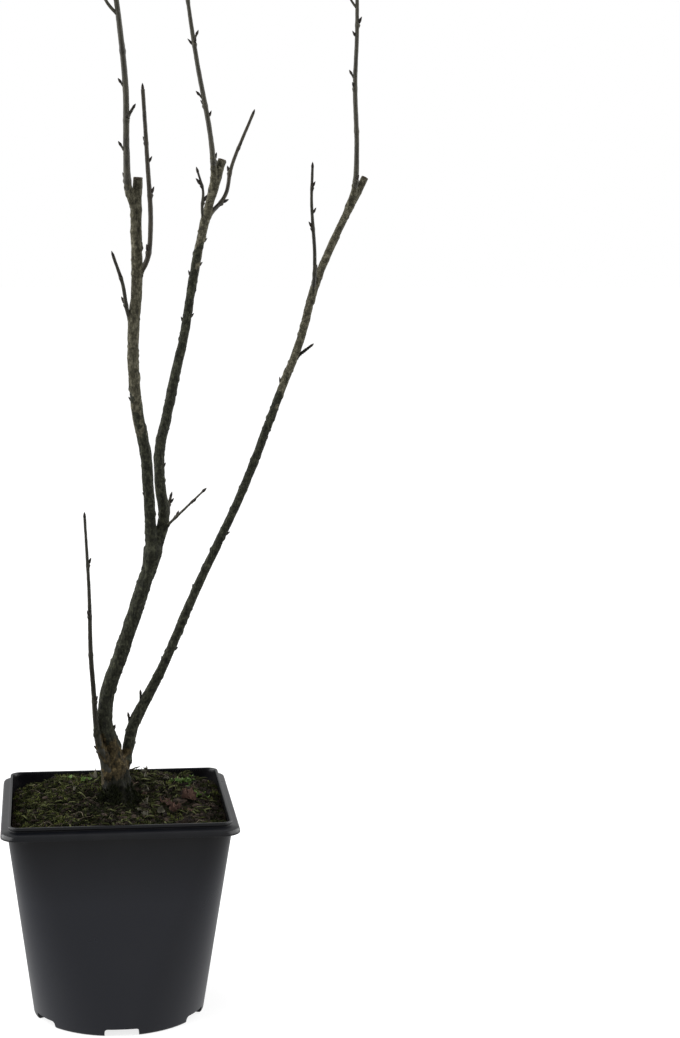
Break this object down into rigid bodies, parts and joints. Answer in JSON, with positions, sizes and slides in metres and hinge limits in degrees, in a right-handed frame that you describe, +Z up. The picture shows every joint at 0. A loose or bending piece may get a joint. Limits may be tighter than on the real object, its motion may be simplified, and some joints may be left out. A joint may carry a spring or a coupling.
{
  "type": "potted blackcurrant bush",
  "caption": "Dormant, leafless blackcurrant bush with a forked main stem, a long side stem and upright leaders, in a square-rimmed plastic nursery pot of soil.",
  "frame": {"origin": "centre of the pot's flat underside", "axes": "+Z up, the pot's sides along X and Y, the bush's front towards -Y"},
  "size_m": [0.2771, 0.17, 0.8244],
  "materials": {
    "pot": "satin injection-moulded black-grey polypropylene",
    "soil": "damp bark and peat potting soil with moss",
    "bark": "matt grey-olive bark with small corky pores",
    "twig": "thin brown-grey bark of young shoots"
  },
  "bodies": {
    "root": {"pot": "pot", "soil": "soil", "trunk": "bark", "limb_left": "bark", "limb_right": "bark", "stem_right": "bark", "shoot_left": "twig", "leader_left": "twig", "twig_left_inner": "twig", "twig_left_low": "twig", "leader_middle": "twig", "twig_middle_outer": "twig", "twig_middle_inner": "twig", "twig_fork": "twig", "spur_fork": "twig", "twig_right_inner": "twig", "leader_right": "twig"}
  },
  "joints": []
}
